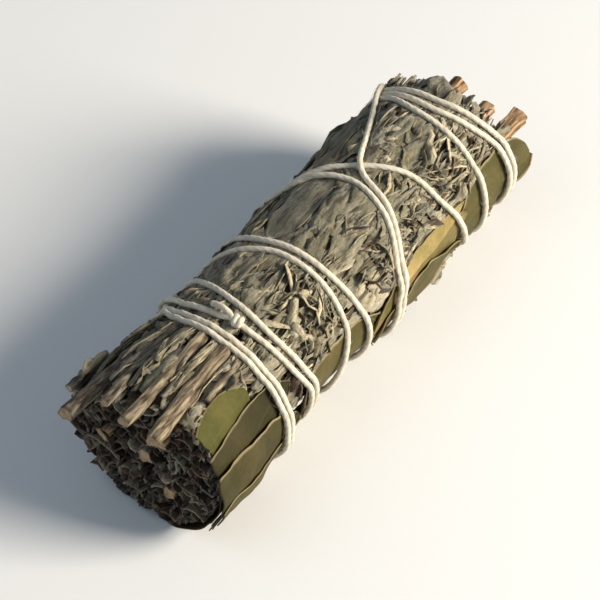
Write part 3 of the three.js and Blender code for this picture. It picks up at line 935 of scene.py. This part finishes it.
def sprig_foliage(index):
    """The leaves of an outer sprig, over its sector of the bundle and in both its ends."""
    first, last = (math.radians(edge) for edge in SECTOR_EDGES[index:index + 2])
    rng = np.random.default_rng(100 + index)
    share = (last - first) / (2 * math.pi)
    templates = leaf_templates()
    tip_end, curly = TIP_ENDS[index], CURLINESS[index]
    pile = Pile()
    add_litter_and_shade(pile, litter_and_shade_shell(first, last, tip_end))
    for name, kind in LEAF_KINDS.items():
        portion = kind.share * (curly if name in ("curl", "scroll") else 1)
        clusters = int(setting().leaf_count * share * portion / kind.side)
        leaves = free_of_others(grown(rng, kind, clusters, first, last, curly))
        thinned = rng.uniform(size=len(leaves["tone"])) < STEM_ZONE_THINNING
        leaves = keep(leaves, ~(in_stem_zone(leaves) & thinned))
        pick = rng.integers(len(templates[name]), size=len(leaves["tone"]))
        for i, template in enumerate(templates[name]):
            lay_leaves(pile, template, keep(leaves, pick == i), rng, tip_end)
    # The end faces, with how many leaf ends a whole face would hold and how wide they are.
    for end, whole, thick in ((None, 120, 1.0), (tip_end, 190, 1.35)):
        for template in templates["curl"] + templates["leaf"]:
            end_tufts(pile, rng, template, (first, last), FACE_RADII, int(whole * share), end, thick)
    for template in templates["scroll"]:
        for end, whole, thick in ((None, 95, 1.5), (tip_end, 40, 1.2)):
            end_tufts(pile, rng, template, (first, last), SCROLL_RADII, int(whole * share), end, thick)
    for region in TANGLES:
        if first <= math.radians(region.angle) < last:
            tangle(pile, rng, templates[region.kind], region)
    add_foliage(pile, f"sprig_{index + 1}_foliage", f"sprig_{index + 1}_leaves")


def core_foliage():
    """The middle sprig: a bed of crushed leaf painted near black as shade, which fills the bundle, and the
    leaf ends round the middle stem.
    """
    rng = np.random.default_rng(77)
    pile = Pile()
    bm = rod(40, CORE_RADIUS, CORE_RADIUS, BODY_LENGTH - 10, 20)
    for v in bm.verts:
        x, y, z = v.co.z + BODY_LENGTH / 2 - 1.5, v.co.x, v.co.y
        v.co = Vector(ORIGIN + np.array([x, y, z])) * MM
    add_litter_and_shade(pile, closed_mesh(bm, "core_litter_and_shade"))
    for tip_end in (None, CORE_TIP_END):
        for template in leaf_templates()["curl"]:
            end_tufts(pile, rng, template, (0, 2 * math.pi), CORE_RADII, 36, tip_end)
    add_foliage(pile, "core_foliage", "core_leaves")


# ---------------------------------------------------------------- stems


@functools.cache
def stem_ends(node):
    """Middle of each end of a stem and its radius, in millimetres."""
    co = coordinates(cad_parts[node].data) / MM
    x = co[:, 0]
    start, end = co[x < x.min() + 0.05], co[x > x.max() - 0.05]
    low, high = start.mean(0), end.mean(0)
    return low, high, np.hypot(*(start - low)[:, 1:].T).max()


def stem_piece(node, seed, tone):
    """A woody rod: a disc extruded along its length with ridged bark, knuckles and a pale cut face."""
    start, end, radius = stem_ends(node)
    rng = np.random.default_rng(seed)
    sides, steps = 18, 40
    bm = bmesh.new()
    bmesh.ops.create_circle(bm, cap_ends=True, segments=sides, radius=radius)
    cap = bm.faces[:]
    length = np.linalg.norm(end - start)
    for _ in range(steps):
        out = bmesh.ops.extrude_face_region(bm, geom=cap)
        moved = [g for g in out["geom"] if isinstance(g, bmesh.types.BMVert)]
        bmesh.ops.translate(bm, verts=moved, vec=(0, 0, length / steps))
        bmesh.ops.delete(bm, geom=cap, context="FACES_ONLY")
        cap = [g for g in out["geom"] if isinstance(g, bmesh.types.BMFace)]
    bmesh.ops.create_circle(bm, cap_ends=True, segments=sides, radius=radius)
    bmesh.ops.remove_doubles(bm, verts=bm.verts[:], dist=0.001)
    ends = [f for f in bm.faces if len(f.verts) == sides]
    bmesh.ops.inset_region(bm, faces=ends, thickness=radius * 0.3, depth=0.0)
    bmesh.ops.recalc_face_normals(bm, faces=bm.faces[:])
    axis = Vector(end - start).normalized()
    side = axis.orthogonal().normalized()
    other = axis.cross(side)
    phase = rng.uniform(0, 6.28, 4)
    knots = rng.uniform(0.05, 0.95, 3)
    knuckle = lambda t, a, k: math.exp(-(((t - k) * length / 0.8) ** 2)) * (1 + math.cos(a + 9 * k))
    layer = bm.verts.layers.float_vector.new("leaf")
    for v in bm.verts:
        t = v.co.z / length
        a = math.atan2(v.co.y, v.co.x)
        r = math.hypot(v.co.x, v.co.y)
        inner = r < radius * 0.9
        bark = 0.07 * math.sin(4 * a + phase[0]) + 0.05 * math.sin(7 * a + phase[1] + t * 3)
        bark += 0.3 * noise.noise(Vector((t * length * 0.25, math.cos(a) * 1.5, math.sin(a) * 1.5 + seed)))
        r *= 1 + bark + 0.07 * math.sin(t * length * 0.35 + phase[2])
        r *= 1 + 0.1 * sum(knuckle(t, a, k) for k in knots)
        swing = 0.25 * radius * math.sin(3.1 * t + phase[3])
        chip = 0.12 * radius * math.sin(2 * a + phase[0]) if t in (0.0, 1.0) or inner else 0.0
        middle = Vector(start) + axis * (t * length + chip)
        v.co = (middle + side * (r * math.cos(a) + swing) + other * (r * math.sin(a))) * MM
        v[layer] = (t, 1.0 if inner else 0.0, tone)
    for f in bm.faces:
        f.smooth = abs(f.normal.dot(axis)) < 0.8
    add_piece(mesh_from(bm, node + "_bark"), node, [stem_material()])


# ---------------------------------------------------------------- broad leaves


def blade_sheet(columns, rows):
    """A flat closed sheet: x and y run 0 to 1, z is 0 on its outer face and -1 on its inner one."""
    bm = bmesh.new()
    bmesh.ops.create_grid(bm, x_segments=columns, y_segments=rows, size=0.5)
    bmesh.ops.solidify(bm, geom=bm.faces[:], thickness=1.0)
    co, counts, corners = shape_of(closed_mesh(bm, "blade_sheet"))
    co[:, 2] -= co[:, 2].max()
    return co + (0.5, 0.5, 0), counts, corners


def add_flap(pile, flap, seed):
    """A dry flap bent over the bundle, with a ragged rim that curls up."""
    length, turn = flap.end - flap.start, math.radians(flap.turn)
    co, counts, corners = blade_sheet(46, max(10, int(flap.width * 2)))
    ragged = 0.35 if flap.butt else 0.6
    along, across = co[:, 0], co[:, 1] * 2 - 1
    side = np.sign(across)
    width = np.maximum(blade_half_width(along, flap.butt), 0.02) * flap.width / 2
    wave = 0.12 * noise_at(along * 4, seed * 7.3 + side, 0.0) + 0.05 * noise_at(along * 17, side, seed * 1.9)
    width = width * (1 + ragged * wave)
    x = (along - 0.5) * length + ragged * noise_at(across * 2.5, seed * 3.1, 5.0) * (2 * along - 1) ** 4
    y = across * width
    middle = (flap.start + flap.end) / 2
    station = middle + x * math.cos(turn) - y * math.sin(turn)
    angle = math.radians(flap.angle) + (x * math.sin(turn) + y * math.cos(turn)) / BLADE_ARC
    swell = noise_at(station * 0.12, angle * 2.2, 1.7) * 0.55 + noise_at(station * 0.5, angle * 6, 2.7) * 0.16
    rim = np.clip((np.abs(across) - 0.7) / 0.3, 0, 1) ** 2
    tip = np.clip((np.abs(2 * along - 1) - 0.8) / 0.2, 0, 1) ** 2
    curl = (0.3 + 0.9 * noise_at(station * 0.22, side * 3.0, seed * 4.1 + 9)) * min(1, flap.width / 12)
    bed = SKIN.radius(station, angle) + swell
    radius = bed + flap.lift + (rim + 0.25 * tip) * curl + 0.1 * np.exp(-((across / 0.07) ** 2))
    # Flaps that lie over this one hold it down, one gap lower for each.
    buried = np.zeros_like(station)
    for other, inside in covering_flaps(station, angle, 0.03):
        if other.lift > flap.lift:
            radius = np.where(inside, np.minimum(radius, bed + other.lift - FLAP_GAP), radius)
            buried += inside * FLAP_GAP
    radius = SKIN.pressed(station, angle, radius + buried) - buried
    radius = radius + co[:, 2] * BLADE_THICKNESS
    marks = np.stack(np.broadcast_arrays(along, across, flap.tone), -1)
    pile.add(bundle_points(station, angle, radius)[None], marks, counts, corners)


def broad_leaf(node, flaps, seed):
    """A broad leaf with its flaps. The last one is a wide flat sage leaf."""
    pile = Pile()
    for i, flap in enumerate(flaps):
        add_flap(pile, flap, seed * 3 + i)
    mesh = pile.mesh(node + "_blade")
    mesh.polygons.foreach_set("use_smooth", np.ones(len(mesh.polygons), bool))
    material = sage_material() if node == "broad_leaf_8" else blade_material()
    add_piece(mesh, node, [material])


# ---------------------------------------------------------------- string


@functools.cache
def string_points():
    """Points at even steps along the string, in millimetres, from the knot to the loose end."""
    station, angle, radius, half = laid_string()
    line = bundle_points(station, angle, radius) / MM
    # The end is wound twice round the first strand and left as a short tail.
    s, a = KNOT[0], math.radians(KNOT[1])
    height = radius[0] + half * 0.6
    centre = bundle_points(np.array([s]), np.array([a]), np.array([height]))[0] / MM
    out = np.array([0, -math.cos(a), math.sin(a)])
    round_way = np.array([0, math.sin(a), math.cos(a)])
    axis = np.array([1.0, 0, 0])
    t = np.linspace(0, 1, 60)
    winding = 2 * math.pi * 1.75 * t - 0.5 * math.pi
    wraps = (
        centre
        + round_way * (0.9 - 1.8 * t)[:, None]
        + out * (half * 1.35 * np.sin(winding))[:, None]
        + axis * (half * 1.5 * np.cos(winding))[:, None]
    )
    tail_station = np.array([place[0] for place in TAIL])
    tail_angle = np.radians([place[1] for place in TAIL])
    tail_radius = SKIN.radius(tail_station, tail_angle) + [place[2] for place in TAIL]
    tail = bundle_points(tail_station, tail_angle, tail_radius) / MM
    return even_steps(np.concatenate([line[:-3], wraps, tail]))


def even_steps(points):
    """The same line in even steps, with its corners eased."""
    gaps = np.linalg.norm(np.diff(points, axis=0), axis=1)
    run = np.concatenate([[0], np.cumsum(gaps)])
    at = np.arange(0, run[-1], STRING_STEP)
    even = np.stack([np.interp(at, run, points[:, k]) for k in range(3)], 1)
    for _ in range(3):
        even[1:-1] = (even[:-2] + 2 * even[1:-1] + even[2:]) / 4
    return even


def ply_section():
    """A closed outline with three low lobes, one for each strand of the string."""
    curve = bpy.data.curves.new("ply_section", "CURVE")
    section = curve.splines.new("POLY")
    corners = 12
    section.points.add(corners - 1)
    section.use_cyclic_u = True
    for i in range(corners):
        a = 2 * math.pi * i / corners
        r = setting().string_diameter / 2 * (0.95 + 0.05 * math.cos(3 * a))
        section.points[i].co = (r * math.cos(a), r * math.sin(a), 0, 1)
    return placed("ply_section", curve)


def binding_string():
    """The string: its section swept along its line, and turned all the way."""
    points = string_points()
    section = ply_section()
    curve = bpy.data.curves.new("string_line", "CURVE")
    curve.dimensions = "3D"
    curve.twist_mode = "MINIMUM"
    curve.bevel_mode = "OBJECT"
    curve.bevel_object = section
    curve.use_fill_caps = True
    spline = curve.splines.new("POLY")
    spline.points.add(len(points) - 1)
    pitch = setting().string_pitch / MM
    for i, (point, place) in enumerate(zip(spline.points, points)):
        point.co = (*(place * MM), 1)
        point.tilt = 2 * math.pi * (i * STRING_STEP / pitch % 1)
    holder = placed("string_line", curve)
    bpy.context.view_layer.update()
    graph = bpy.context.evaluated_depsgraph_get()
    mesh = bpy.data.meshes.new_from_object(holder.evaluated_get(graph))
    mesh.name = "cotton_string"
    for helper in (holder, section):
        bpy.data.objects.remove(helper)
    bm = bmesh.new()
    bm.from_mesh(mesh)
    bmesh.ops.remove_doubles(bm, verts=bm.verts[:], dist=1e-6)
    bmesh.ops.recalc_face_normals(bm, faces=bm.faces[:])
    for f in bm.faces:
        f.smooth = len(f.verts) == 4
    bm.to_mesh(mesh)
    bm.free()
    mesh.materials.clear()
    add_piece(mesh, "binding_string", [string_material()])


def fibre_template():
    """A three-sided closed hair: z runs 0 to 1 along it, x and y are 1 at its root."""
    bm = rod(3, 1, 0.3, 1, 2)
    bmesh.ops.translate(bm, verts=bm.verts[:], vec=(0, 0, 0.5))
    return shape_of(closed_mesh(bm, "fibre_template"))


def string_fuzz():
    """Loose cotton hairs that stand off the string."""
    rng = np.random.default_rng(5)
    half = laid_string()[3]
    points = string_points()
    count = setting().fibre_count
    pick = rng.integers(2, len(points) - 2, count)
    tangent = points[pick + 1] - points[pick - 1]
    tangent /= np.linalg.norm(tangent, axis=1, keepdims=True)
    tangent *= rng.choice([-1.0, 1.0], (count, 1))
    out = rng.normal(size=(count, 3))
    out -= tangent * (out * tangent).sum(1, keepdims=True)
    out /= np.linalg.norm(out, axis=1, keepdims=True)
    side = np.cross(out, tangent)
    co, counts, corners = fibre_template()
    t = co[None, :, 2:3]
    lift = rng.uniform(0.15, 0.75, (count, 1, 1))
    run = rng.uniform(0.5, 1.7, (count, 1, 1))
    sway = rng.normal(0, 0.35, (count, 1, 1))
    hair_radius = 0.028
    body = points[pick][:, None] + out[:, None] * (half * 0.8 + lift * t**0.7)
    body = body + tangent[:, None] * run * t + side[:, None] * sway * t**2
    body = body + (out[:, None] * co[None, :, 0:1] + side[:, None] * co[None, :, 1:2]) * hair_radius
    pile = Pile()
    pile.add(body * MM, np.zeros_like(body), counts, corners)
    mesh = pile.mesh("string_fuzz")
    piece = placed(mesh.name, mesh)
    mesh.materials.append(string_material())
    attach(piece, "root")


# ---------------------------------------------------------------- settings and operators


class SMUDGE_PG_settings(bpy.types.PropertyGroup):
    string_diameter: FloatProperty(
        name="String thickness",
        description="Thickness of the cotton string",
        default=1.16 * MM,
        unit="LENGTH",
    )
    string_pitch: FloatProperty(
        name="String twist",
        description="Length of one full twist of the string",
        default=5.0 * MM,
        unit="LENGTH",
    )
    leaf_count: IntProperty(
        name="Leaves",
        description="How many small leaves lie on the outside of the bundle",
        default=3900,
        min=100,
    )
    fibre_count: IntProperty(
        name="Loose hairs",
        description="How many cotton hairs stand off the string",
        default=2600,
        min=0,
    )
    floor_colour: FloatVectorProperty(
        name="Floor colour",
        description="Colour of the pale floor",
        subtype="COLOR",
        default=(0.80, 0.82, 0.85),
    )
    camera_distance: FloatProperty(
        name="Camera distance",
        description="Distance from the bundle to the camera",
        default=0.7,
        unit="LENGTH",
    )


class SMUDGE_OT_stage(bpy.types.Operator):
    """Add the floor, the lights and the camera"""

    bl_idname = "smudge.stage"
    bl_label = "Stage"

    def execute(self, context):
        build_stage()
        return {"FINISHED"}


class SMUDGE_OT_sprigs(bpy.types.Operator):
    """Model the sprigs' small leaves"""

    bl_idname = "smudge.sprigs"
    bl_label = "Sprig Leaves"

    def execute(self, context):
        laid_string()
        core_foliage()
        for index in range(SPRIG_COUNT):
            sprig_foliage(index)
        return {"FINISHED"}


class SMUDGE_OT_stems(bpy.types.Operator):
    """Model the woody stems"""

    bl_idname = "smudge.stems"
    bl_label = "Stems"

    def execute(self, context):
        stem_piece("core_stem", 1, 0.7)
        for i in range(1, SPRIG_COUNT + 1):
            stem_piece(f"sprig_{i}_stem", 10 + i, 1.0)
        for i, tone in enumerate(BARE_STEM_TONES, 1):
            stem_piece(f"bare_stem_{i}", 30 + i, tone)
        return {"FINISHED"}


class SMUDGE_OT_broad_leaves(bpy.types.Operator):
    """Model the broad leaves wrapped over the bundle"""

    bl_idname = "smudge.broad_leaves"
    bl_label = "Broad Leaves"

    def execute(self, context):
        laid_string()
        for seed, (node, leaf) in enumerate(BROAD_LEAVES.items(), 1):
            broad_leaf(node, leaf, seed)
        return {"FINISHED"}


class SMUDGE_OT_string(bpy.types.Operator):
    """Wind the string round the bundle and knot it"""

    bl_idname = "smudge.string"
    bl_label = "String"

    def execute(self, context):
        binding_string()
        string_fuzz()
        return {"FINISHED"}


class SMUDGE_PT_panel(bpy.types.Panel):
    bl_idname = "SMUDGE_PT_panel"
    bl_label = "Smudge Stick"
    bl_space_type = "VIEW_3D"
    bl_region_type = "UI"
    bl_category = "Smudge Stick"

    def draw(self, context):
        for name in SMUDGE_PG_settings.__annotations__:
            self.layout.prop(context.scene.smudge_stick, name)
        for operator in OPERATORS:
            self.layout.operator(operator.bl_idname)


OPERATORS = [SMUDGE_OT_stage, SMUDGE_OT_sprigs, SMUDGE_OT_stems, SMUDGE_OT_broad_leaves, SMUDGE_OT_string]
CLASSES = [SMUDGE_PG_settings, *OPERATORS, SMUDGE_PT_panel]


def register():
    for cls in CLASSES:
        bpy.utils.register_class(cls)
    bpy.types.Scene.smudge_stick = PointerProperty(type=SMUDGE_PG_settings)


def unregister():
    del bpy.types.Scene.smudge_stick
    for cls in reversed(CLASSES):
        bpy.utils.unregister_class(cls)


# ---------------------------------------------------------------- stage

CAMERA_AZIMUTH = math.radians(-54.2)
CAMERA_ELEVATION = math.radians(49.2)
SENSOR_WIDTH = 36
# Width of the picture, in metres, at the bundle's distance.
PICTURE_WIDTH = 0.1071428


def area_light(name, toward, distance, size, power, colour):
    light = bpy.data.lights.new(name, "AREA")
    light.energy = power
    light.size = size
    light.color = colour
    holder = placed(name, light)
    direction = Vector(toward).normalized()
    holder.location = direction * distance
    holder.rotation_euler = direction.to_track_quat("Z", "Y").to_euler()


def build_stage():
    bm = bmesh.new()
    bmesh.ops.create_grid(bm, x_segments=1, y_segments=1, size=3.0)
    mesh = mesh_from(bm, "floor")
    floor = placed("floor", mesh)
    paint = Shade("floor")
    paint.set(Base_Color=(*setting().floor_colour, 1), Roughness=0.9)
    mesh.materials.append(paint.material)

    a, e = CAMERA_AZIMUTH, CAMERA_ELEVATION
    back = Vector((math.sin(a) * math.cos(e), -math.cos(a) * math.cos(e), math.sin(e)))
    middle = Vector((0.0, 0.0, AXIS_HEIGHT * MM * 0.9))
    distance = setting().camera_distance
    camera = bpy.data.cameras.new("camera")
    camera.sensor_width = SENSOR_WIDTH
    camera.lens = SENSOR_WIDTH * distance / PICTURE_WIDTH
    camera.clip_end = 20
    holder = placed("camera", camera)
    holder.location = middle + back * distance
    holder.rotation_euler = back.to_track_quat("Z", "Y").to_euler()
    bpy.context.scene.camera = holder

    area_light("key", (0.45, -1.0, 0.62), 0.9, 0.35, 15.5, (1.0, 0.90, 0.75))
    area_light("fill", (-0.7, 0.5, 1.2), 1.2, 1.0, 2.5, (0.70, 0.85, 1.0))
    world = bpy.data.worlds.new("studio")
    world.use_nodes = True
    background = world.node_tree.nodes["Background"]
    background.inputs["Color"].default_value = (0.85, 0.93, 1.0, 1)
    background.inputs["Strength"].default_value = 0.2
    bpy.context.scene.world = world
    bpy.context.scene.view_settings.view_transform = "Standard"


def main():
    register()
    bpy.ops.smudge.stage()
    bpy.ops.smudge.sprigs()
    bpy.ops.smudge.stems()
    bpy.ops.smudge.broad_leaves()
    bpy.ops.smudge.string()


if __name__ == "__main__":
    main()
